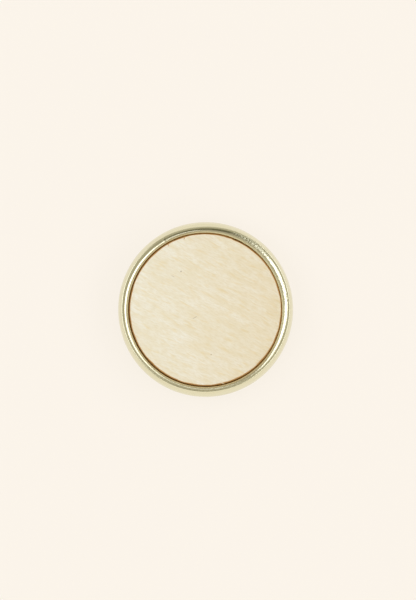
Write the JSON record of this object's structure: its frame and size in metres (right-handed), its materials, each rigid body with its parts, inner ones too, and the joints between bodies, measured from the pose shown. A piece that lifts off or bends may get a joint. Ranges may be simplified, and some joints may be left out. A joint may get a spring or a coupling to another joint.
{
  "type": "dealer button",
  "caption": "Double-sided round table marker: a metal rim holds a wooden inlay in each face. It rests on the lip of either face.",
  "frame": {"origin": "centre of the underside, on the plane that the button rests on", "axes": "+Z along the disc's axis, out of the upper face; +Y is the top of the upper face as it is looked down on"},
  "size_m": [0.0508, 0.0508, 0.01],
  "materials": {
    "rim_metal": "polished, pale champagne gold plate",
    "slug_steel": "zinc plated",
    "adhesive": "translucent double-sided film",
    "birch_core": "laser-cut, charred edge",
    "birch_face": "bare, finely sanded, charred edge"
  },
  "bodies": {
    "root": {"rim_ring": "rim_metal", "core_slug": "slug_steel", "upper_glue_film": "adhesive", "upper_back_veneer": "birch_core", "upper_core_veneer": "birch_core", "upper_face_veneer": "birch_face", "lower_glue_film": "adhesive", "lower_back_veneer": "birch_core", "lower_core_veneer": "birch_core", "lower_face_veneer": "birch_face"}
  },
  "joints": []
}
